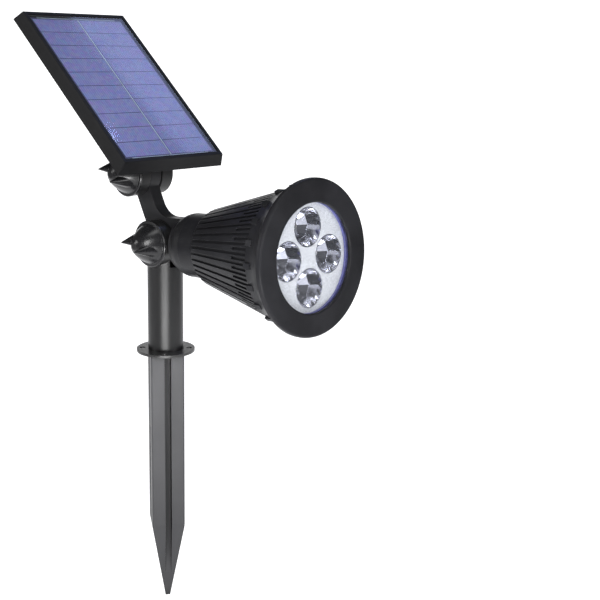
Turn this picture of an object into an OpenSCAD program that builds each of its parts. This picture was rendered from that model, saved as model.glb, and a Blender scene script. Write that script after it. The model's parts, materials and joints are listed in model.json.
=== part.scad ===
// Solar garden spotlight on a push-in ground stake, with a tilting lamp head and a tilting
// solar panel carried on an arm. Millimetres. Origin: centre of the wall flange's underside.
// +Z up, lamp looks towards -Y, both clamping knobs are on the -X side.

/* [Pole and stake] */
// Outside diameter of the pole tube
pole_d = 22; // [21:0.5:23]
// Height of the head pivot above the flange's underside
pivot_height = 69.6; // [66:0.2:80]
// Diameter of the wall flange
flange_d = 36.4; // [35.5:0.1:42]
// Thickness of the wall flange
flange_t = 1.6; // [1.2:0.1:2.4]
// Pitch circle of the flange's screw holes
screw_pcd = 29.2; // [28.6:0.2:30]
// Diameter of each flange screw hole
screw_hole_d = 3.6; // [3:0.1:4]
// Length of the stake below the flange
stake_length = 169.8; // [150:0.2:190]
// Width of the stake across its flats
stake_w = 21; // [19:0.5:23]
// Width of the grooves down the stake
groove_w = 4; // [3:0.2:5]
// Length of the stake's point
point_length = 54.5; // [40:0.5:60]

/* [Joints] */
// Upward tilt of the lamp head
head_tilt = 3.7; // [0:0.1:8]
// Slope of the solar panel
panel_tilt = 41.2; // [35:0.1:48]
// Distance between the two pivots
arm_length = 45.9; // [43:0.1:50]
// Backward lean of the arm, measured from the head
arm_lean = 23.5; // [20:0.5:27]
// Radius of the forked knuckles
knuckle_r = 14; // [13.5:0.1:14.2]
// Radius of the wing knobs' base ring
knob_r = 14.2; // [13.6:0.1:14.6]
// Length of each wing knob
knob_length = 16.8; // [15:0.2:18]

/* [Lamp head] */
// Distance from the head pivot to the lamp's front face
head_reach = 122.4; // [120:0.2:126]
// Outside diameter of the bezel
bezel_d = 87.2; // [86:0.2:90]
// Diameter of the bezel's opening
opening_d = 60.6; // [58:0.2:62]
// Radius of the smooth collar where it meets the hub
shell_r_rear = 19.2; // [19:0.1:19.6]
// Radius of the ribbed shell at the bezel
shell_r_front = 37.4; // [37:0.1:37.6]
// Length of the smooth collar behind the ribs
collar_len = 14.2; // [12:0.1:16]
// Number of long cooling slots around the shell
slot_count = 42; // [30:2:44]
// Width of a cooling slot
slot_w = 1.5; // [1:0.1:1.7]
// Depth of a cooling slot
slot_depth = 1.2; // [0.6:0.1:1.3]
// Distance of each reflector cup from the lamp's axis
cup_offset = 16.8; // [16.4:0.1:17.2]
// Radius of a reflector cup's mouth
cup_r = 11; // [10:0.1:11.2]

/* [Solar panel] */
// Panel width, at its top face
panel_w = 77.7; // [74:0.1:84]
// Panel length, at its top face
panel_l = 126.5; // [120:0.5:134]
// Overall thickness of the panel's tray
panel_t = 8.3; // [8.2:0.1:9]
// How far the tray's walls flare out towards the underside, on each side
panel_flare = 2.3; // [1.6:0.1:3]
// Height of the panel's underside above its pivot
panel_standoff = 21.05; // [20:0.05:24]
// Overhang of the panel's low edge past its pivot
panel_overhang = 16.15; // [15:0.05:20]
// Rows of solar cells
cell_rows = 10; // [8:1:12]

/* [Hidden] */
$fn = 96;
fit = 0.1;
pole_r = pole_d / 2;
pole_wall = 1.6;
tube_top = pivot_height - 15.6;
spigot_r = 7.4;
spigot_h = 18;
body_gap = 0.3;
groove_depth = 6;
groove_start = 2.6;
stake_turn = 55;
stake_round = 1.5;
tip_w = 3;
slot_half = 4.8;
tongue_half = 4;
washer_t = 0.7;
tongue_r = knuckle_r - 0.6;
cheek_near = 11.2;
cheek_far = 13;
bolt_r = 2.5;
bolt_hex = 8;
bolt_head_t = 3.5;
bolt_end = 19.5;
knob_ring_t = 1.4;
arm_half = 6.5;
arm_fillet = 14;
neck_top = 15.6;
neck_low = 10;
neck_r = 10;
dome_back = 20.5;
dome_round = 9;
shell_back = 32.4;
shell_front = head_reach - 16.4;
rim_front = head_reach - 4.4;
shell_wall = 2.4;
spigot_out = 35.9;
spigot_in = 33.9;
rib_back = shell_back + collar_len;
rib_r = shell_r_rear + 3.5;
rib_round = 2.2;
cone_slope = (shell_r_front - rib_r) / (shell_front - rib_back);
cone_angle = atan(cone_slope);
cone_run = (shell_front - rib_back) / cos(cone_angle);
short_slot_start = 0.76;
grip_count = 20;
ledge_in = 26.5;
board_back = head_reach - 19;
board_front = head_reach - 17.4;
plate_front = head_reach - 5;
collar_r = 16.6;
cavity_r = 14.2;
cell_back = 28.2;
cell_len = 65;
cell_r = 9.2;
cap_z = cell_back + cell_len + 0.6;
panel_top = panel_standoff + panel_t;
cover_t = 1.6;
lip_w = 2.2;
seal_w = 0.8;
shelf_z = panel_top - 2.45;
window_w = panel_w - 2 * (lip_w + seal_w);
window_l = panel_l - 2 * (lip_w + seal_w);
cell_area_w = panel_w - 9.4;
cell_area_l = panel_l - 9.4;
centre_strip = 1.6;
cell_gap = 0.5;
button_y = 75;
button_r = 5;

// Frames: the head's frame has its origin at the lower pivot, and the lamp's frame has +Z
// forward along the lamp's axis. The panel's frame has its origin at the upper pivot, with
// +Y up the slope and +Z out of the panel's face.

module in_head() {
    translate([0, 0, pivot_height])
        rotate([-head_tilt, 0, 0])
            children();
}

module in_lamp() {
    in_head()
        rotate([90, 0, 0])
            children();
}

module in_panel() {
    in_head()
        rotate([-arm_lean, 0, 0])
            translate([0, 0, arm_length])
                rotate([arm_lean + head_tilt + panel_tilt, 0, 0])
                    children();
}

module at_lower_pivot() {
    translate([0, 0, pivot_height])
        children();
}

// Round bar along X from x0 to x1
module bar_x(r, x0, x1) {
    translate([x0, 0, 0])
        rotate([0, 90, 0])
            cylinder(r = r, h = x1 - x0);
}

// Hexagon across flats af, along X from x0 to x1
module hex_x(af, x0, x1) {
    translate([x0, 0, 0])
        rotate([0, 90, 0])
            cylinder(r = af / sqrt(3), h = x1 - x0, $fn = 6);
}

module ring(r_out, r_in, z0, z1) {
    translate([0, 0, z0])
        difference() {
            cylinder(r = r_out, h = z1 - z0);
            translate([0, 0, -1])
                cylinder(r = r_in, h = z1 - z0 + 2);
        }
}

module box_between(low, high) {
    translate(low)
        cube(high - low);
}

// Stake: grooved square bar with a four-sided point, and a round spigot for the pole

module stake_section() {
    core = stake_w / 2 - stake_round;
    square([stake_w, 2 * core], center = true);
    square([2 * core, stake_w], center = true);
    for (sx = [-1, 1], sy = [-1, 1])
        translate([sx * core, sy * core])
            circle(r = stake_round);
}

module point_outline() {
    rotate([90, 0, 0])
        translate([0, 0, -stake_w])
            linear_extrude(2 * stake_w)
                polygon([
                    [-tip_w / 2, -stake_length],
                    [tip_w / 2, -stake_length],
                    [stake_w / 2, point_length - stake_length],
                    [stake_w / 2, 0],
                    [-stake_w / 2, 0],
                    [-stake_w / 2, point_length - stake_length]
                ]);
}

module ground_stake() {
    color("#4a4a4e")
        rotate([0, 0, stake_turn]) {
            difference() {
                intersection() {
                    translate([0, 0, -stake_length])
                        linear_extrude(stake_length - body_gap)
                            stake_section();
                    point_outline();
                    rotate([0, 0, 90])
                        point_outline();
                }
                for (a = [0:90:270])
                    rotate([0, 0, a])
                        translate([stake_w / 2 - groove_depth, -groove_w / 2, -stake_length - 1])
                            cube([groove_depth + 1, groove_w, stake_length + 1 - groove_start]);
            }
            translate([0, 0, -1])
                cylinder(r = spigot_r, h = spigot_h);
            translate([0, 0, spigot_h - 1])
                cylinder(r1 = spigot_r, r2 = spigot_r - 1, h = 1);
        }
}

// Pole: wall flange with a socket, tube, and a fork plugged into the tube's top

module pole_flange() {
    color("#3a3a3e")
        difference() {
            union() {
                cylinder(r = flange_d / 2, h = flange_t);
                cylinder(r = pole_r - pole_wall - 0.05, h = spigot_h + 2);
            }
            translate([0, 0, -1])
                cylinder(r = spigot_r + fit, h = spigot_h + 4);
            for (a = [45:90:315])
                rotate([0, 0, a])
                    translate([screw_pcd / 2, 0, -1])
                        cylinder(d = screw_hole_d, h = flange_t + 2);
        }
}

module pole_tube() {
    color("#5a5a60")
        ring(pole_r, pole_r - pole_wall, flange_t, tube_top);
}

module pole_fork() {
    color("#1b1b1e")
        at_lower_pivot()
            difference() {
                union() {
                    translate([0, 0, tube_top - pivot_height])
                        cylinder(r = pole_r, h = pivot_height - tube_top);
                    translate([0, 0, tube_top - pivot_height - 14])
                        cylinder(r = pole_r - pole_wall - 0.05, h = 14.5);
                    bar_x(knuckle_r, -cheek_near, cheek_near);
                }
                box_between([-slot_half, -20, -tongue_r - 1], [slot_half, 20, 20]);
                bar_x(bolt_r + fit, -20, 20);
                hex_x(bolt_hex + 0.2, cheek_near - bolt_head_t, cheek_near + 1);
            }
}

module pivot_bolt(head_end) {
    bar_x(bolt_r, -bolt_end, head_end - bolt_head_t + 0.5);
    hex_x(bolt_hex, head_end - bolt_head_t + 0.05, head_end - 0.1);
}

module friction_washers() {
    for (side = [-1, 1])
        scale([side, 1, 1])
            difference() {
                bar_x(9, slot_half - washer_t, slot_half);
                bar_x(bolt_r + fit, 0, 10);
            }
}

module head_pivot_bolt() {
    color("#b8bac0")
        at_lower_pivot()
            pivot_bolt(cheek_near);
}

module head_friction_washers() {
    color("#101012")
        at_lower_pivot()
            friction_washers();
}

// Wing knob: base ring, pointed dome and two pointed wings, threaded onto the bolt's end

module knob_body() {
    dome_r = knob_r - 1.8;
    dome_h = knob_length - 4.6;
    ear_offset = 6.2;
    rotate([0, -90, 0])
        translate([0, 0, cheek_near + body_gap])
            difference() {
                union() {
                    cylinder(r = knob_r, h = knob_ring_t - 0.4);
                    translate([0, 0, knob_ring_t - 0.4])
                        cylinder(r1 = knob_r, r2 = knob_r - 0.4, h = 0.4);
                    rotate_extrude()
                        polygon(concat(
                            [[0, 0.5], [dome_r, 0.5]],
                            [for (i = [0:12])
                                let (s = 0.97 * i / 12)
                                [dome_r * pow(1 - s, 0.5), knob_ring_t + s * dome_h]],
                            [[0, knob_ring_t + 0.97 * dome_h]]
                        ));
                    for (a = [0, 180])
                        rotate([0, 0, a])
                            translate([ear_offset, 0, knob_ring_t - 0.3])
                                cylinder(r1 = 5.9, r2 = 0.35, h = knob_length);
                }
                translate([0, 0, -1])
                    cylinder(r = 4, h = 9.8);
            }
}

module knob_insert() {
    difference() {
        bar_x(4, -cheek_near - body_gap - 8.8, -cheek_near - body_gap - 0.4);
        bar_x(bolt_r + fit, -30, 0);
    }
}

module head_knob() {
    color("#151517")
        at_lower_pivot()
            rotate([-69, 0, 0])
                knob_body();
}

module head_knob_insert() {
    color("#b39a4a")
        at_lower_pivot()
            knob_insert();
}

// Head: rear hub with the panel arm, ribbed shell, bezel and what is inside

module arm_outline() {
    fillet_z = neck_top + arm_fillet;
    fillet_y = (fillet_z * sin(arm_lean) - arm_half - arm_fillet) / cos(arm_lean) + 0.06;
    circle(r = tongue_r);
    rotate(-arm_lean) {
        translate([0, arm_length])
            circle(r = tongue_r);
        translate([-arm_half, 0])
            square([2 * arm_half, arm_length]);
    }
    polygon(concat(
        [[-dome_back - 3, -neck_low], [0, -neck_low], [arm_half * 1.5, neck_top + 8]],
        [for (i = [0:15])
            let (a = -arm_lean - (90 - arm_lean) * i / 15)
            [fillet_y + arm_fillet * cos(a), fillet_z + arm_fillet * sin(a)]],
        [[-dome_back - 3, neck_top]]
    ));
}

module hub_profile() {
    centre_r = shell_r_rear - dome_round;
    centre_z = dome_back + dome_round;
    translate([0, dome_back])
        square([centre_r, shell_back - dome_back]);
    translate([0, centre_z])
        square([shell_r_rear, shell_back - centre_z]);
    intersection() {
        translate([centre_r, centre_z])
            circle(r = dome_round);
        translate([0, dome_back])
            square([shell_r_rear, dome_round]);
    }
    translate([0, dome_back + 1])
        square([collar_r, shell_back + 5.6 - dome_back - 1]);
}

module head_hub_arm() {
    color("#1d1d20")
        difference() {
            union() {
                in_lamp() {
                    rotate_extrude()
                        difference() {
                            hub_profile();
                            translate([0, shell_back - 6.4])
                                square([cavity_r, 20]);
                            translate([collar_r - 1.15, shell_back + 2])
                                square([3, 1.4]);
                        }
                    translate([0, 0, knuckle_r + 1.2])
                        cylinder(r = neck_r, h = dome_back - knuckle_r);
                }
                in_head()
                    translate([-tongue_half, 0, 0])
                        rotate([90, 0, 90])
                            linear_extrude(2 * tongue_half)
                                arm_outline();
            }
            in_head() {
                bar_x(bolt_r + fit, -6, 6);
                rotate([-arm_lean, 0, 0])
                    translate([0, 0, arm_length])
                        bar_x(bolt_r + fit, -6, 6);
            }
            in_lamp()
                holder_screw_places()
                    translate([0, 0, shell_back - 10])
                        cylinder(r = 0.95, h = 6);
        }
}

module holder_screw_places() {
    for (a = [30:120:270])
        rotate([0, 0, a])
            translate([12.4, 0, 0])
                children();
}

module hub_seal() {
    color("#0e0e10")
        in_lamp()
            translate([0, 0, shell_back + 2.7])
                rotate_extrude()
                    translate([collar_r - 0.45, 0])
                        circle(r = 0.62);
}

module cooling_slot(start) {
    translate([rib_r + start * cone_run * sin(cone_angle), 0, 0])
        translate([0, 0, rib_back + start * cone_run * cos(cone_angle)])
            rotate([0, cone_angle, 0])
                translate([-slot_depth, -slot_w / 2, start > 0 ? 0 : -2])
                    cube([4, slot_w, (1 - start) * cone_run + (start > 0 ? 1 : 3)]);
}

module head_shell() {
    inner_r = shell_r_rear - shell_wall;
    inner_back = rib_back + 5;
    inner_front = rib_back + (spigot_in - 0.4 - rib_r + shell_wall) / cone_slope;
    color("#1a1a1d")
        in_lamp()
            difference() {
                rotate_extrude()
                    polygon([
                        [inner_r, shell_back],
                        [shell_r_rear, shell_back],
                        [shell_r_rear + 0.3, rib_back],
                        [rib_r - rib_round * 0.7, rib_back],
                        [rib_r - rib_round * 0.2, rib_back + rib_round * 0.35],
                        [rib_r + rib_round * cone_slope, rib_back + rib_round],
                        [shell_r_front, shell_front],
                        [spigot_out, shell_front],
                        [spigot_out, rim_front],
                        [spigot_in, rim_front],
                        [spigot_in, board_back],
                        [ledge_in, board_back],
                        [ledge_in, board_back - 2],
                        [spigot_in - 0.4, board_back - 2],
                        [spigot_in - 0.4, inner_front],
                        [rib_r - shell_wall + 5 * cone_slope, inner_back],
                        [inner_r, rib_back]
                    ]);
                for (i = [0:slot_count - 1]) {
                    rotate([0, 0, i * 360 / slot_count])
                        cooling_slot(0);
                    rotate([0, 0, (i + 0.5) * 360 / slot_count])
                        cooling_slot(short_slot_start);
                }
                led_screw_places()
                    translate([0, 0, board_back - 3])
                        cylinder(r = 1.15, h = 4);
            }
}

module led_screw_places() {
    for (a = [45:120:285])
        rotate([0, 0, a])
            translate([29.3, 0, 0])
                children();
}

module bezel_ring() {
    rim = bezel_d / 2;
    open_r = opening_d / 2;
    color("#161618")
        in_lamp() {
            for (i = [0:grip_count - 1])
                rotate([0, 0, i * 360 / grip_count])
                    box_between([rim - 6.6, -1.6, shell_front + 0.1], [rim - 4.35, 1.6, shell_front + 4.6]);
            rotate_extrude()
                difference() {
                    union() {
                        polygon([
                            [spigot_out + fit, shell_front + 0.1],
                            [rim, shell_front + 0.1],
                            [rim, head_reach - 1.4],
                            [rim - 1.4, head_reach - 1.4],
                            [rim - 1.4, head_reach],
                            [open_r + 0.6, head_reach],
                            [open_r, head_reach - 0.6],
                            [open_r, head_reach - 2],
                            [spigot_out + fit, head_reach - 2]
                        ]);
                        translate([rim - 1.4, head_reach - 1.4])
                            circle(r = 1.4);
                    }
                    translate([rim + 23.7, head_reach - 21.3])
                        circle(r = 30);
                }
        }
}

module front_lens() {
    color("#dfe8ee55")
        in_lamp()
            translate([0, 0, head_reach - 3.6])
                cylinder(r = spigot_out, h = 1.6);
}

module lens_gasket() {
    color("#0c0c0e")
        in_lamp()
            rotate_extrude()
                polygon([
                    [opening_d / 2 + 0.1, plate_front + 0.1],
                    [spigot_in - 0.2, plate_front + 0.1],
                    [spigot_in - 0.2, rim_front],
                    [spigot_out - 0.1, rim_front],
                    [spigot_out - 0.1, head_reach - 3.6],
                    [opening_d / 2 + 0.1, head_reach - 3.6]
                ]);
}

module cup_places() {
    for (a = [0:90:270])
        rotate([0, 0, a])
            translate([cup_offset, 0, 0])
                children();
}

module reflector_plate() {
    color("#d8d8dc")
        in_lamp() {
            difference() {
                translate([0, 0, plate_front - 1.5])
                    cylinder(r = spigot_in - 0.2, h = 1.5);
                cup_places()
                    translate([0, 0, plate_front - 3])
                        cylinder(r = cup_r + 0.05, h = 5);
            }
            ring(spigot_in - 0.2, spigot_in - 1.4, board_front, plate_front - 1.4);
        }
}

module reflector_cups() {
    top = plate_front;
    color("#f0f0f4")
        in_lamp()
            cup_places()
                rotate_extrude()
                    polygon([
                        [3.2, top - 11],
                        [cup_r - 4.7, top - 9.2],
                        [cup_r - 2.4, top - 6.2],
                        [cup_r - 1.1, top - 3],
                        [cup_r - 0.6, top],
                        [cup_r, top],
                        [cup_r - 0.5, top - 3.2],
                        [cup_r - 1.8, top - 6.6],
                        [cup_r - 4.2, top - 9.8],
                        [3.2, top - 11.6]
                    ]);
}

module led_emitters() {
    color("#f4e7a8")
        in_lamp()
            cup_places() {
                translate([-1.8, -1.8, board_front])
                    cube([3.6, 3.6, 0.8]);
                translate([0, 0, board_front + 0.8])
                    intersection() {
                        sphere(r = 1.5);
                        translate([-2, -2, -0.1])
                            cube([4, 4, 4]);
                    }
            }
}

module led_board() {
    color("#e8e8ea")
        in_lamp()
            difference() {
                translate([0, 0, board_back])
                    cylinder(r = spigot_in - 0.3, h = board_front - board_back);
                led_screw_places()
                    translate([0, 0, board_back - 1])
                        cylinder(r = 1.15, h = 4);
            }
}

module led_board_screws() {
    color("#9a9ca2")
        in_lamp()
            led_screw_places() {
                translate([0, 0, board_back - 1.8])
                    cylinder(r = 1.1, h = 4);
                translate([0, 0, board_front])
                    difference() {
                        cylinder(r = 2.2, h = 1.4);
                        translate([0, 0, 0.7])
                            cylinder(r = 1, h = 2, $fn = 6);
                    }
            }
}

module standoff_places() {
    for (a = [105:120:345])
        rotate([0, 0, a])
            translate([19, 0, 0])
                children();
}

module board_standoffs() {
    color("#c7a94f")
        in_lamp()
            standoff_places()
                translate([0, 0, board_back - 3.4])
                    cylinder(r = 2.6, h = 3.4, $fn = 6);
}

module control_board() {
    color("#1f6b3a")
        in_lamp()
            translate([0, 0, board_back - 5])
                cylinder(r = 24, h = 1.6);
}

module control_parts() {
    back = board_back - 5;
    color("#202024")
        in_lamp() {
            box_between([-4, -3, back - 1.6], [4, 3, back]);
            box_between([-15, -4, back - 2.4], [-10, 4, back]);
            box_between([9, -9, back - 1.2], [14, -5, back]);
            translate([12, 5, back - 2.8])
                cylinder(r = 4, h = 2.8);
            box_between([-6, -17, back - 2.6], [6, -12, back]);
            box_between([-9, 10, back - 1.8], [-3, 15, back]);
        }
}

module battery_holder() {
    color("#2a2a2e")
        in_lamp()
            difference() {
                union() {
                    ring(cell_r + 1.5, cell_r + 0.1, cell_back - 0.7, cap_z + 0.1);
                    translate([0, 0, shell_back - 6.4])
                        cylinder(r = cavity_r - 0.2, h = 1.6);
                    translate([0, 0, cap_z])
                        cylinder(r = cell_r + 1.5, h = 1.4);
                }
                for (a = [0, 180])
                    rotate([0, 0, a])
                        box_between([4, -5, cell_back + 6], [20, 5, cap_z - 8]);
                holder_screw_places()
                    translate([0, 0, shell_back - 8])
                        cylinder(r = 0.95, h = 6);
            }
}

module battery_cell() {
    color("#2f6fb2")
        in_lamp() {
            translate([0, 0, cell_back])
                cylinder(r = cell_r, h = cell_len - 1);
            translate([0, 0, cell_back + cell_len - 1.1])
                cylinder(r = 3.2, h = 1.1);
        }
}

module battery_contacts() {
    color("#c9c2a0")
        in_lamp() {
            translate([0, 0, cell_back - 0.5])
                cylinder(r = 6, h = 0.4);
            translate([0, 0, cap_z - 0.5])
                cylinder(r = 6, h = 0.4);
        }
}

module holder_screws() {
    color("#9a9ca2")
        in_lamp()
            holder_screw_places() {
                translate([0, 0, shell_back - 9.6])
                    cylinder(r = 0.9, h = 5);
                translate([0, 0, shell_back - 4.8])
                    cylinder(r = 1.4, h = 1.1);
            }
}

// Solar panel: tray, cell laminate, back cover with the fork, switch and button

module panel_box(w, l, z0, z1) {
    translate([-w / 2, panel_l / 2 - panel_overhang - l / 2, z0])
        cube([w, l, z1 - z0]);
}

module flared_block() {
    half_top = panel_w / 2;
    half_low = half_top + panel_flare;
    front = -panel_overhang;
    back = panel_l - panel_overhang;
    intersection() {
        translate([0, back + 10, 0])
            rotate([90, 0, 0])
                linear_extrude(panel_l + 20)
                    polygon([
                        [-half_low, panel_standoff],
                        [half_low, panel_standoff],
                        [half_top, panel_top],
                        [-half_top, panel_top]
                    ]);
        translate([-half_low - 5, 0, 0])
            rotate([90, 0, 90])
                linear_extrude(2 * half_low + 10)
                    polygon([
                        [front - panel_flare, panel_standoff],
                        [back + panel_flare, panel_standoff],
                        [back, panel_top],
                        [front, panel_top]
                    ]);
    }
}

module panel_screw_places() {
    for (sx = [-1, 1], v = [6.5, panel_l / 2, panel_l - 6.5])
        translate([sx * (panel_w / 2 - 6.5), v - panel_overhang, 0])
            children();
}

module panel_tray() {
    inner_z = panel_standoff + cover_t;
    color("#1c1c1f")
        in_panel()
            difference() {
                union() {
                    difference() {
                        flared_block();
                        panel_box(panel_w - 2 * lip_w, panel_l - 2 * lip_w, shelf_z, panel_top + 1);
                        panel_box(panel_w - 8, panel_l - 8, panel_standoff - 1, shelf_z + 1);
                        panel_box(panel_w, panel_l, panel_standoff - 1, inner_z);
                    }
                    panel_screw_places() {
                        translate([0, 0, inner_z])
                            cylinder(r = 3, h = shelf_z - inner_z);
                    }
                }
                panel_screw_places()
                    translate([0, 0, inner_z - 1])
                        cylinder(r = 1.15, h = shelf_z - inner_z + 0.4);
            }
}

module panel_seal() {
    color("#0b0b0d")
        in_panel()
            difference() {
                panel_box(panel_w - 2 * lip_w, panel_l - 2 * lip_w, shelf_z, panel_top - 0.6);
                panel_box(window_w, window_l, shelf_z - 1, panel_top);
            }
}

module panel_window() {
    color("#8f96d855")
        in_panel()
            panel_box(window_w, window_l, panel_top - 1.35, panel_top - 0.25);
}

module solar_cells() {
    pitch = cell_area_l / cell_rows;
    width = (cell_area_w - centre_strip) / 2;
    color("#4a4f9c")
        in_panel()
            for (sx = [-1, 1], i = [0:cell_rows - 1])
                translate([
                    sx * (width + centre_strip) / 2 - width / 2,
                    (panel_l - cell_area_l) / 2 - panel_overhang + i * pitch + cell_gap / 2,
                    shelf_z + 0.8
                ])
                    cube([width, pitch - cell_gap, 0.2]);
}

module cell_ribbons() {
    low = (panel_l - cell_area_l) / 2 - panel_overhang;
    width = cell_area_w / 2 - 4;
    color("#8d938a")
        in_panel() {
            box_between([-0.5, low, shelf_z + 0.8], [0.5, low + cell_area_l, shelf_z + 1]);
            for (v = [low - 1.5, low + cell_area_l + 0.5])
                box_between([-width, v, shelf_z + 0.8], [width, v + 1, shelf_z + 1]);
        }
}

module cell_backing_board() {
    color("#22232c")
        in_panel()
            panel_box(window_w, window_l, shelf_z, shelf_z + 0.8);
}

// Side view of the bracket: upright at the front, meeting the panel's underside on the slope.
module bracket_outline() {
    front_y = 0.4 - knuckle_r;
    top_n = panel_standoff + 0.5;
    back_l = 20;
    ca = cos(panel_tilt);
    sa = sin(panel_tilt);
    front_z = (top_n + front_y * sa) / ca;
    circle(r = knuckle_r);
    polygon([
        [front_y * ca, -front_y * sa],
        [4, -4],
        [knuckle_r - 2, -4],
        [back_l, top_n],
        [front_y * ca + front_z * sa, top_n]
    ]);
}

module panel_back_cover() {
    color("#1a1a1d")
        in_panel()
            difference() {
                union() {
                    panel_box(panel_w - 0.2, panel_l - 0.2, panel_standoff, panel_standoff + cover_t);
                    translate([-cheek_near, 0, 0])
                        rotate([90, 0, 90])
                            linear_extrude(cheek_near + cheek_far)
                                bracket_outline();
                }
                translate([-slot_half, 0, 0])
                    rotate([90, 0, 90])
                        linear_extrude(2 * slot_half) {
                            circle(r = knuckle_r + 0.3);
                            rotate(-panel_tilt)
                                translate([-20, -20])
                                    square([40, 26]);
                        }
                bar_x(bolt_r + fit, -20, 20);
                hex_x(bolt_hex + 0.2, cheek_far - bolt_head_t, cheek_far + 1);
                panel_screw_places()
                    translate([0, 0, panel_standoff - 1])
                        cylinder(r = 1.15, h = 4);
                translate([0, button_y, panel_standoff - 1])
                    cylinder(r = button_r + fit, h = 4);
            }
}

module panel_screws() {
    color("#9a9ca2")
        in_panel()
            panel_screw_places() {
                translate([0, 0, panel_standoff - 0.2])
                    cylinder(r = 1.1, h = 5);
                translate([0, 0, panel_standoff - 1.2])
                    difference() {
                        cylinder(r = 2.3, h = 1.2);
                        translate([0, 0, -1])
                            cylinder(r = 1, h = 1.6, $fn = 6);
                    }
            }
}

module panel_pivot_bolt() {
    color("#b8bac0")
        in_panel()
            pivot_bolt(cheek_far);
}

module panel_friction_washers() {
    color("#101012")
        in_panel()
            friction_washers();
}

module panel_knob() {
    color("#151517")
        in_panel()
            rotate([-57 - panel_tilt, 0, 0])
                knob_body();
}

module panel_knob_insert() {
    color("#b39a4a")
        in_panel()
            knob_insert();
}

module switch_body() {
    color("#26262a")
        in_panel()
            box_between([-4, button_y - 4, panel_standoff + 3.4], [4, button_y + 4, shelf_z]);
}

module power_button() {
    color("#7a1f1c")
        in_panel()
            translate([0, button_y, 0]) {
                translate([0, 0, panel_standoff - 1.4])
                    cylinder(r = button_r, h = 3.6);
                translate([0, 0, panel_standoff + cover_t + body_gap])
                    cylinder(r = button_r + 1, h = 0.5);
            }
}

ground_stake();
pole_flange();
pole_tube();
pole_fork();
head_pivot_bolt();
head_friction_washers();
head_knob();
head_knob_insert();
head_hub_arm();
hub_seal();
head_shell();
bezel_ring();
front_lens();
lens_gasket();
reflector_plate();
reflector_cups();
led_emitters();
led_board();
led_board_screws();
board_standoffs();
control_board();
control_parts();
battery_holder();
battery_cell();
battery_contacts();
holder_screws();
panel_tray();
panel_seal();
panel_window();
solar_cells();
cell_ribbons();
cell_backing_board();
panel_back_cover();
panel_screws();
panel_pivot_bolt();
panel_friction_washers();
panel_knob();
panel_knob_insert();
switch_body();
power_button();
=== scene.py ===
"""Solar garden spotlight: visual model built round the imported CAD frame."""
import json
import math
import bmesh
import bpy
from mathutils import Matrix, Vector


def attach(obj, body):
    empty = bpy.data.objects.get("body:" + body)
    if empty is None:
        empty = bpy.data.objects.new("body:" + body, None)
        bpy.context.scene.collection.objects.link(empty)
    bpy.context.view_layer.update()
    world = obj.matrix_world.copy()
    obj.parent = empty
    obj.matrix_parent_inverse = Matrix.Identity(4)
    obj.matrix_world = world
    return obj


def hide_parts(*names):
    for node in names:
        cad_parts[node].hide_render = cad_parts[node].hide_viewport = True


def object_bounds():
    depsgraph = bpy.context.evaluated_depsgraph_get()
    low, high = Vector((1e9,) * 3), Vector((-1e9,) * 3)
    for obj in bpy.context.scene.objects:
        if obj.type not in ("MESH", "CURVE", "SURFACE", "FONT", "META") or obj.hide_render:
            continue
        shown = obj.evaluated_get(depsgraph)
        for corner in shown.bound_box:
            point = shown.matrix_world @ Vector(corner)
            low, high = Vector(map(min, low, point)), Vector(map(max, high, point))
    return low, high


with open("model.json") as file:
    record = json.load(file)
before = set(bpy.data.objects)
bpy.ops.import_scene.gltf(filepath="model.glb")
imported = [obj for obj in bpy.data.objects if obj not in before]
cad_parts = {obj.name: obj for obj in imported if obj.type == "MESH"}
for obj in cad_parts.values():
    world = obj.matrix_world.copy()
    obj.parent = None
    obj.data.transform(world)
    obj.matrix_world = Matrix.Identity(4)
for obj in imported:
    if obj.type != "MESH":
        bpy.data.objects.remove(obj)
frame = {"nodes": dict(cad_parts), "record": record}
cad_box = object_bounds()
nodes = frame["nodes"]
scene = bpy.context.scene
scene.view_settings.view_transform = "Standard"
MM = 0.001

# ---------------------------------------------------------------- camera

CAMERA_AT = Vector((-0.42591, -0.48561, 0.19119))
CAMERA_TURN, CAMERA_DIP, CAMERA_ROLL = (math.radians(a) for a in (-48.721, 13.746, 1.357))
LENS_MM = 63.4


def make_camera():
    level = Vector((-math.sin(CAMERA_TURN), math.cos(CAMERA_TURN), 0))
    side = Vector((math.cos(CAMERA_TURN), math.sin(CAMERA_TURN), 0))
    up = Vector((0, 0, 1))
    ahead = level * math.cos(CAMERA_DIP) - up * math.sin(CAMERA_DIP)
    above = up * math.cos(CAMERA_DIP) + level * math.sin(CAMERA_DIP)
    right = side * math.cos(CAMERA_ROLL) + above * math.sin(CAMERA_ROLL)
    top = above * math.cos(CAMERA_ROLL) - side * math.sin(CAMERA_ROLL)
    data = bpy.data.cameras.new("camera")
    data.lens = LENS_MM
    data.sensor_width = 36
    data.clip_start = 0.02
    data.clip_end = 60
    camera = bpy.data.objects.new("camera", data)
    turn = Matrix((right, top, -ahead)).transposed().to_4x4()
    camera.matrix_world = Matrix.Translation(CAMERA_AT) @ turn
    scene.collection.objects.link(camera)
    scene.camera = camera


make_camera()

# ---------------------------------------------------------------- materials


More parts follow.
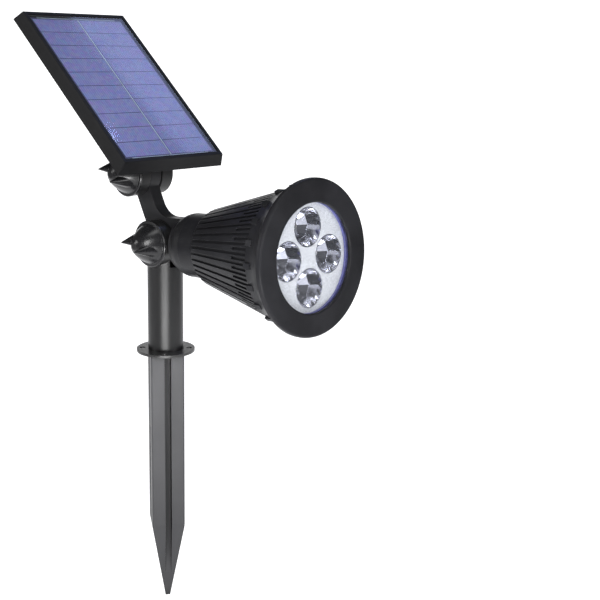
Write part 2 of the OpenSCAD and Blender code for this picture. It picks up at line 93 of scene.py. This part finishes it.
class Shader:
    """A small helper for node materials: every texture is procedural, in object metres."""

    def __init__(self, name):
        self.material = bpy.data.materials.new(name)
        self.material.use_nodes = True
        self.tree = self.material.node_tree
        self.base = self.tree.nodes["Principled BSDF"]
        self.place = self.tree.nodes.new("ShaderNodeTexCoord").outputs["Object"]

    def add(self, kind, **inputs):
        node = self.tree.nodes.new("ShaderNode" + kind)
        for key, value in inputs.items():
            self.put(node, key.replace("_", " "), value)
        return node

    def put(self, node, key, value):
        socket = node.inputs[int(key) if key.isdigit() else key]
        if isinstance(value, bpy.types.NodeSocket):
            self.tree.links.new(value, socket)
        else:
            socket.default_value = value

    def set(self, **inputs):
        for key, value in inputs.items():
            self.put(self.base, key.replace("_", " "), value)

    def noise(self, scale, detail=2.0, rough=0.5, vector=None):
        node = self.add("TexNoise", Vector=vector or self.place, Scale=scale, Detail=detail, Roughness=rough)
        return node.outputs[0]

    def ramp(self, value, low, high, out_low, out_high):
        node = self.add("MapRange", Value=value)
        for key, number in (("From Min", low), ("From Max", high), ("To Min", out_low), ("To Max", out_high)):
            node.inputs[key].default_value = number
        return node.outputs[0]

    def mix(self, factor, first, second):
        node = self.tree.nodes.new("ShaderNodeMix")
        node.data_type = "RGBA"
        self.put(node, "0", factor)
        self.put(node, "6", first)
        self.put(node, "7", second)
        return node.outputs[2]

    def math(self, kind, first, second=None):
        node = self.tree.nodes.new("ShaderNodeMath")
        node.operation = kind
        self.put(node, "0", first)
        if second is not None:
            self.put(node, "1", second)
        return node.outputs[0]

    def bump(self, height, distance, strength=1.0, normal=None):
        node = self.add("Bump", Height=height, Distance=distance, Strength=strength)
        if normal is not None:
            self.put(node, "Normal", normal)
        return node.outputs[0]

    def rounded(self, radius):
        node = self.tree.nodes.new("ShaderNodeBevel")
        node.samples = 4
        node.inputs["Radius"].default_value = radius
        return node.outputs[0]


def grey(value, blue=1.0):
    return (value, value, value * blue, 1)


# how far a moulded plastic's cloudy patches stray from its own tone
MOULDED_SPREAD = 0.25


def moulded(name, tone, rough, grain=0.00002, edge=0.0004, blue=1.05, shine=0.35):
    """Moulded plastic: fine spark-eroded grain, cloudy sheen, faint handling marks and soft edges."""
    s = Shader(name)
    cloud = s.noise(38, 4)
    scuff = s.noise(420, 5, 0.7)
    dark = grey(tone * (1 - MOULDED_SPREAD), blue)
    light = grey(tone * (1 + MOULDED_SPREAD), blue)
    s.set(Base_Color=s.mix(s.ramp(cloud, 0.35, 0.65, 0, 1), dark, light))
    s.set(Roughness=s.math("ADD", s.ramp(cloud, 0.3, 0.7, rough - 0.05, rough + 0.05),
                           s.ramp(scuff, 0.45, 0.75, -0.03, 0.05)))
    s.set(Normal=s.bump(s.noise(2600, 3, 0.6), grain, 0.6, s.rounded(edge)))
    s.set(Specular_IOR_Level=shine)
    return s.material


def metal(name, colour, rough, brushed=False):
    """Bare metal with fine lines in its finish, which are drawn out sideways when it is brushed."""
    s = Shader(name)
    stretch = s.add("Mapping", Vector=s.place)
    stretch.inputs["Scale"].default_value = (1, 1, 24 if brushed else 1)
    lines = s.noise(900, 3, 0.6, stretch.outputs[0])
    tint = tuple(c * 0.8 for c in colour[:3]) + (1,)
    s.set(Base_Color=s.mix(lines, tint, colour), Metallic=1.0)
    s.set(Roughness=s.ramp(lines, 0.2, 0.8, rough - 0.06, rough + 0.1))
    s.set(Normal=s.bump(lines, 0.00001, 0.5, s.rounded(0.0002)))
    return s.material


def rubber(name, tone):
    """Matt rubber with a pebbled surface."""
    s = Shader(name)
    speck = s.noise(1500, 4, 0.6)
    s.set(Base_Color=s.mix(speck, grey(tone * 0.7), grey(tone * 1.4)))
    s.set(Roughness=s.ramp(speck, 0.3, 0.7, 0.62, 0.8))
    s.set(Normal=s.bump(speck, 0.00004, 0.6, s.rounded(0.0003)))
    return s.material


def clear(name, tint, rough, gloss_ior=1.4):
    """Thin clear plastic: light goes straight through, with a faintly smeared outer reflection."""
    s = Shader(name)
    smear = s.noise(60, 4)
    s.tree.nodes.remove(s.base)
    through = s.add("BsdfTransparent", Color=tint)
    gloss = s.add("BsdfGlossy", Color=grey(1.0), Roughness=s.ramp(smear, 0.4, 0.7, rough, rough + 0.03))
    fresnel = s.add("Fresnel", IOR=gloss_ior)
    outer = s.math("SUBTRACT", 1.0, s.tree.nodes.new("ShaderNodeNewGeometry").outputs["Backfacing"])
    blend = s.add("MixShader")
    s.put(blend, "0", s.math("MULTIPLY", fresnel.outputs[0], outer))
    s.tree.links.new(through.outputs[0], blend.inputs[1])
    s.tree.links.new(gloss.outputs[0], blend.inputs[2])
    s.tree.links.new(blend.outputs[0], s.tree.nodes["Material Output"].inputs["Surface"])
    return s.material


def stake_material():
    """Dark grey plastic with flow lines down it; painted shade darkens it towards the point and in the
    grooves.
    """
    s = Shader("stake_plastic")
    cloud = s.noise(22, 4)
    stretch = s.add("Mapping", Vector=s.place)
    stretch.inputs["Scale"].default_value = (1, 1, 0.06)
    flow = s.noise(260, 3, 0.6, stretch.outputs[0])
    # painted shade: the base colour darkens towards the point, standing in for the shade lower down the stake
    height = s.add("SeparateXYZ", Vector=s.place).outputs[2]
    painted_point_shade_fade = s.ramp(height, -0.17, -0.03, 0, 1)
    body = s.mix(s.ramp(cloud, 0.3, 0.7, 0, 1), grey(0.048, 1.06), grey(0.068, 1.06))
    # painted shade: the darker tone used at the shaded point, with the flow lines in it
    low = s.mix(flow, grey(0.018, 1.08), grey(0.028, 1.08))
    # painted shade: ambient occlusion turns the base colour near black in the grooves and recesses
    groove_shade_ao = s.tree.nodes.new("ShaderNodeAmbientOcclusion")
    groove_shade_ao.samples = 6
    groove_shade_ao.inputs["Distance"].default_value = 0.008
    painted_groove_shade_mask = s.ramp(groove_shade_ao.outputs["AO"], 0.45, 0.85, 0.0, 1.0)
    s.set(Base_Color=s.mix(painted_groove_shade_mask, grey(0.01, 1.08), s.mix(painted_point_shade_fade, low, body)))
    s.set(Roughness=s.ramp(flow, 0.3, 0.7, 0.38, 0.52), Specular_IOR_Level=0.3)
    grain = s.math("ADD", s.noise(2400, 3, 0.6), s.math("MULTIPLY", flow, 1.2))
    s.set(Normal=s.bump(grain, 0.00004, 0.6, s.rounded(0.0005)))
    return s.material


def pole_material(name):
    """Satin black with faint vertical streaks."""
    s = Shader(name)
    orange_peel = s.noise(700, 2)
    stretch = s.add("Mapping", Vector=s.place)
    stretch.inputs["Scale"].default_value = (1, 1, 0.1)
    streak = s.noise(300, 3, 0.6, stretch.outputs[0])
    s.set(Base_Color=s.mix(streak, grey(0.007, 1.06), grey(0.011, 1.06)))
    s.set(Roughness=s.ramp(streak, 0.3, 0.7, 0.32, 0.4), Specular_IOR_Level=0.4)
    s.set(Normal=s.bump(orange_peel, 0.00002, 0.5, s.rounded(0.0003)))
    return s.material


PANEL_LEAN = math.radians(41.2)


def cell_material():
    """Blue-violet silicon with fine finger lines, soft clouds and a slight speckle of crystals."""
    s = Shader("cell_blue")
    turn = s.add("Mapping", Vector=s.place)
    turn.inputs["Rotation"].default_value = (-PANEL_LEAN, 0, 0)
    flat = turn.outputs[0]
    split = s.add("SeparateXYZ", Vector=flat)
    across, along = split.outputs[0], split.outputs[1]
    cloud = s.noise(45, 4, 0.6, flat)
    crystal = s.add("TexVoronoi", Vector=flat, Scale=420).outputs["Color"]
    finger = s.math("FRACT", s.math("MULTIPLY", across, 1 / 0.0016))
    finger = s.math("LESS_THAN", finger, 0.12)
    tone = s.mix(s.ramp(cloud, 0.3, 0.7, 0, 1), (0.085, 0.09, 0.24, 1), (0.115, 0.12, 0.3, 1))
    tone = s.mix(0.06, tone, crystal)
    s.set(Base_Color=s.mix(s.math("MULTIPLY", finger, 0.35), tone, (0.45, 0.48, 0.62, 1)))
    s.set(Roughness=s.ramp(cloud, 0.3, 0.7, 0.3, 0.42), Specular_IOR_Level=0.6)
    s.set(Normal=s.bump(finger, 0.00001, 0.3))
    return s.material


def reflector_material():
    """Silver-white sprayed plate with a coarse sparkle."""
    s = Shader("reflector_silver")
    grit = s.noise(1300, 3, 0.7)
    pits = s.add("TexVoronoi", Vector=s.place, Scale=700).outputs["Distance"]
    s.set(Base_Color=s.mix(s.ramp(grit, 0.35, 0.65, 0, 1), grey(0.52, 0.96), grey(0.76, 0.96)), Metallic=0.1)
    s.set(Roughness=s.ramp(grit, 0.3, 0.7, 0.3, 0.5))
    s.set(Normal=s.bump(s.math("ADD", grit, pits), 0.0002, 0.8))
    return s.material


def led_resin(name, colour):
    """Glossy cast resin with fine flecks."""
    s = Shader(name)
    fleck = s.noise(2500, 2)
    s.set(Base_Color=s.mix(fleck, colour, tuple(c * 0.8 for c in colour[:3]) + (1,)))
    s.set(Roughness=s.ramp(fleck, 0.3, 0.7, 0.15, 0.25), Coat_Weight=0.8)
    return s.material


def board_material(name, base, trace):
    """Lacquered circuit board with a pattern of traces."""
    s = Shader(name)
    lines = s.add("TexBrick", Vector=s.place, Scale=120)
    s.set(Base_Color=s.mix(s.math("MULTIPLY", lines.outputs["Fac"], 0.5), base, trace))
    s.set(Roughness=s.ramp(s.noise(300), 0.3, 0.7, 0.3, 0.45))
    return s.material


MATERIALS = {
    "stake_plastic": stake_material(),
    "flange_plastic": moulded("flange_plastic", 0.032, 0.32, blue=1.0),
    "pole_paint": pole_material("pole_paint"),
    "fork_plastic": pole_material("fork_plastic"),
    "steel": metal("steel", (0.62, 0.62, 0.65, 1), 0.3, brushed=True),
    "rubber_black": rubber("rubber_black", 0.012),
    # painted reflection: the lens gasket's pale blue-violet tone stands in for the coloured sheen on the lens
    # edge
    "gasket_tinted": moulded("gasket_tinted", 0.13, 0.3, blue=2.4),
    "knob_plastic": moulded("knob_plastic", 0.011, 0.26, grain=0.000004, edge=0.0005, blue=1.12, shine=0.5),
    "brass": metal("brass", (0.72, 0.56, 0.25, 1), 0.3),
    "hub_plastic": moulded("hub_plastic", 0.012, 0.42, blue=1.12, shine=0.2),
    "shell_plastic": moulded("shell_plastic", 0.014, 0.34, edge=0.0004, blue=1.15, shine=0.12),
    "bezel_plastic": moulded("bezel_plastic", 0.014, 0.36, edge=0.0006, blue=1.15, shine=0.11),
    "lens_clear": clear("lens_clear", (0.96, 0.97, 1, 1), 0.02),
    "reflector_silver": reflector_material(),
    "cup_mirror": metal("cup_mirror", (0.72, 0.72, 0.74, 1), 0.1),
    "led_yellow": led_resin("led_yellow", (0.9, 0.82, 0.5, 1)),
    "board_white": board_material("board_white", grey(0.8), grey(0.6)),
    "board_green": board_material("board_green", (0.03, 0.2, 0.07, 1), (0.3, 0.25, 0.08, 1)),
    "chip_black": moulded("chip_black", 0.02, 0.5),
    "holder_plastic": moulded("holder_plastic", 0.03, 0.45),
    "cell_wrap": moulded("cell_wrap", 0.12, 0.25, blue=3.0),
    "contact_metal": metal("contact_metal", (0.75, 0.72, 0.62, 1), 0.3),
    "tray_plastic": moulded("tray_plastic", 0.008, 0.46, edge=0.0004, blue=1.1, shine=0.08),
    "window_clear": clear("window_clear", (0.97, 0.975, 1, 1), 0.04),
    "cell_blue": cell_material(),
    "ribbon_metal": metal("ribbon_metal", (0.45, 0.5, 0.46, 1), 0.4),
    "backing_dark": moulded("backing_dark", 0.05, 0.4, blue=1.8),
    "cover_plastic": moulded("cover_plastic", 0.013, 0.4, shine=0.25),
    "switch_plastic": moulded("switch_plastic", 0.02, 0.35),
    "button_rubber": moulded("button_rubber", 0.05, 0.6),
}
for part in frame["record"]["subparts"]:
    thing = nodes[part["node"]]
    thing.data.materials.clear()
    thing.data.materials.append(MATERIALS[part["material_slot"]])

# ---------------------------------------------------------------- faceted reflector cups

HEAD_TILT = math.radians(3.7)
LAMP_OUT = Vector((0, -math.cos(HEAD_TILT), math.sin(HEAD_TILT)))
LAMP_UP = Vector((0, math.sin(HEAD_TILT), math.cos(HEAD_TILT)))
LAMP_SIDE = Vector((1, 0, 0))
CUP_RIM = 11 * MM
CUP_SEGMENTS = 32
CUP_FACETS = 8
CUP_COUNT = 4
# millimetres from the cup's axis, millimetres below its rim, share of faceting
CUP_RINGS = (
    (10.5, 0.0, 0.0), (10.1, 2.4, 0.9), (8.0, 7.2, 1.0), (3.2, 11.0, 1.0),
    (3.2, 11.6, 0.0), (9.0, 6.6, 0.0), (11.0, 0.0, 0.0),
)


def cup_radius(radius, faceted, angle):
    """Distance from the cup's axis: a circle blended towards a regular polygon."""
    step = 2 * math.pi / CUP_FACETS
    inside = angle % step - step / 2
    flat = radius * math.cos(step / 2) / math.cos(inside)
    return (radius + (flat - radius) * faceted) * MM


def make_cups():
    """Four bowls of flat mirror facets, standing exactly where the plain cups stand."""
    points = [v.co for v in nodes["reflector_cups"].data.vertices]
    reach = max(p.dot(LAMP_OUT) for p in points)
    sides = [p.dot(LAMP_SIDE) for p in points]
    heights = [p.dot(LAMP_UP) for p in points]
    offset = (max(sides) - min(sides)) / 2 - CUP_RIM
    middle = LAMP_OUT * reach + LAMP_UP * (max(heights) + min(heights)) / 2
    bm = bmesh.new()
    for number in range(CUP_COUNT):
        around = 2 * math.pi * number / CUP_COUNT
        centre = middle + (LAMP_SIDE * math.cos(around) + LAMP_UP * math.sin(around)) * offset
        rows = []
        for radius, depth, faceted in CUP_RINGS:
            row = []
            for k in range(CUP_SEGMENTS):
                angle = 2 * math.pi * k / CUP_SEGMENTS
                out = LAMP_SIDE * math.cos(angle) + LAMP_UP * math.sin(angle)
                place = centre + out * cup_radius(radius, faceted, angle) - LAMP_OUT * depth * MM
                row.append(bm.verts.new(place))
            rows.append(row)
        for low, high in zip(rows, rows[1:] + rows[:1]):
            for k in range(CUP_SEGMENTS):
                following = (k + 1) % CUP_SEGMENTS
                bm.faces.new((low[k], low[following], high[following], high[k]))
    bmesh.ops.recalc_face_normals(bm, faces=bm.faces)
    mesh = bpy.data.meshes.new("faceted_cups")
    bm.to_mesh(mesh)
    bm.free()
    mesh.materials.append(MATERIALS["cup_mirror"])
    cups = bpy.data.objects.new("faceted_cups", mesh)
    scene.collection.objects.link(cups)
    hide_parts("reflector_cups")
    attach(cups, "head")


make_cups()

# ---------------------------------------------------------------- stage

FLOOR_GAP = 0.0002
FLOOR_Z = cad_box[0][2] - FLOOR_GAP
FLOOR_RADIUS = 2.4
SWEEP_BEND = 1.5
SWEEP_RADIUS = 0.6
SWEEP_HALF_WIDTH = 1.05
SWEEP_ARC_STEPS = 12
SWEEP_COLUMNS = 8
SWEEP_TOP = 0.3
SWEEP_LIFT = 0.0005
PAPER_GLOW = 0.95


def view_axes():
    level = Vector((-math.sin(CAMERA_TURN), math.cos(CAMERA_TURN), 0))
    side = Vector((math.cos(CAMERA_TURN), math.sin(CAMERA_TURN), 0))
    return level, side


def paper(name, glow):
    """Matt studio paper that glows behind the object, fading out sideways and towards the front."""
    level, side = view_axes()
    s = Shader(name)
    s.set(Base_Color=s.mix(s.noise(3), grey(0.66), grey(0.7)), Roughness=0.9, Specular_IOR_Level=0.1)
    dot_ahead = s.tree.nodes.new("ShaderNodeVectorMath")
    dot_ahead.operation = "DOT_PRODUCT"
    s.put(dot_ahead, "0", s.place)
    dot_ahead.inputs[1].default_value = level
    dot_side = s.tree.nodes.new("ShaderNodeVectorMath")
    dot_side.operation = "DOT_PRODUCT"
    s.put(dot_side, "0", s.place)
    dot_side.inputs[1].default_value = side
    ahead, aside = dot_ahead.outputs["Value"], dot_side.outputs["Value"]
    reach = s.math("ADD", s.math("MULTIPLY", ahead, 0.3), 0.3)
    beyond = s.math("SUBTRACT", s.math("ABSOLUTE", aside), reach)
    strength = s.math("MULTIPLY", s.ramp(beyond, 0.0, 0.7, glow, 0.0), s.ramp(ahead, -0.45, -0.02, 0.0, 1.0))
    s.set(Emission_Color=grey(1.0), Emission_Strength=strength)
    return s.material


def stage_mesh(name, bm, material):
    mesh = bpy.data.meshes.new(name)
    for face in bm.faces:
        face.smooth = True
    bm.normal_update()
    bm.to_mesh(mesh)
    bm.free()
    thing = bpy.data.objects.new(name, mesh)
    scene.collection.objects.link(thing)
    mesh.materials.append(material)


def make_stage():
    """A pale floor all round, and behind it a paper sweep that curves up out of view."""
    level, side = view_axes()
    material = paper("studio_paper", PAPER_GLOW)
    bm = bmesh.new()
    bmesh.ops.create_circle(bm, cap_ends=True, segments=96, radius=FLOOR_RADIUS,
                            matrix=Matrix.Translation((0, 0, FLOOR_Z)))
    stage_mesh("studio_floor", bm, material)
    bm = bmesh.new()
    profile = []
    for step in range(SWEEP_ARC_STEPS + 1):
        angle = math.radians(90 * step / SWEEP_ARC_STEPS)
        distance = SWEEP_BEND + SWEEP_RADIUS * math.sin(angle)
        profile.append((distance, SWEEP_LIFT + SWEEP_RADIUS * (1 - math.cos(angle))))
    profile.append((SWEEP_BEND + SWEEP_RADIUS, SWEEP_RADIUS + SWEEP_TOP))
    rows = []
    for ahead, height in profile:
        centre = level * ahead + Vector((0, 0, FLOOR_Z + height))
        row = []
        for k in range(SWEEP_COLUMNS + 1):
            across = SWEEP_HALF_WIDTH * (2 * k / SWEEP_COLUMNS - 1)
            row.append(bm.verts.new(centre + side * across))
        rows.append(row)
    for low, high in zip(rows, rows[1:]):
        for k in range(SWEEP_COLUMNS):
            bm.faces.new((low[k], low[k + 1], high[k + 1], high[k]))
    stage_mesh("studio_sweep", bm, material)


make_stage()


def soft_light(name, at, facing, size, power, colour=(1, 1, 1), across=None):
    """A rectangular softbox; across is the direction of its width, level when none is given."""
    data = bpy.data.lights.new(name, "AREA")
    data.shape = "RECTANGLE"
    data.size, data.size_y = size
    data.energy = power
    data.color = colour
    lamp = bpy.data.objects.new(name, data)
    back = (Vector(at) - Vector(facing)).normalized()
    x_axis = Vector((0, 0, 1)).cross(back) if across is None else Vector(across)
    x_axis = (x_axis - back * x_axis.dot(back)).normalized()
    y_axis = back.cross(x_axis)
    turn = Matrix((x_axis, y_axis, back)).transposed().to_4x4()
    lamp.matrix_world = Matrix.Translation(at) @ turn
    scene.collection.objects.link(lamp)


MIDDLE = (0, -0.02, 0.06)
PANEL_MIDDLE = (0, 0.05, 0.17)
POLE_FOOT = (0, 0, 0.02)
SKY_TINT = (0.43, 0.52, 0.92)
WORLD_STRENGTH = 0.12
soft_light("overhead", (-0.1, -0.2, 1.9), MIDDLE, (1.2, 1.2), 11, across=(1, 0, 0))
soft_light("key", (-1.15, -1.2, 0.7), MIDDLE, (0.4, 0.9), 14)
soft_light("left_fill", (-1.3, 0.7, 0.5), MIDDLE, (0.6, 0.6), 7)
soft_light("lamp_front", (0.35, -1.7, 0.35), MIDDLE, (0.9, 0.7), 12)
soft_light("low_strip", (-0.37, -0.36, -0.11), POLE_FOOT, (0.36, 0.09), 2.1, across=(0.72, -0.69, 0))
soft_light("panel_sky", (1.083, 0.176, 1.240), PANEL_MIDDLE, (0.48, 0.30), 1.0, SKY_TINT,
           across=(-0.294, 0.81, 0.506))
soft_light("panel_low", (0.86, -0.06, 1.44), PANEL_MIDDLE, (0.2, 0.2), 2.4, SKY_TINT)
world = bpy.data.worlds.new("studio")
world.use_nodes = True
world.node_tree.nodes["Background"].inputs["Color"].default_value = (1, 1, 1, 1)
world.node_tree.nodes["Background"].inputs["Strength"].default_value = WORLD_STRENGTH
scene.world = world
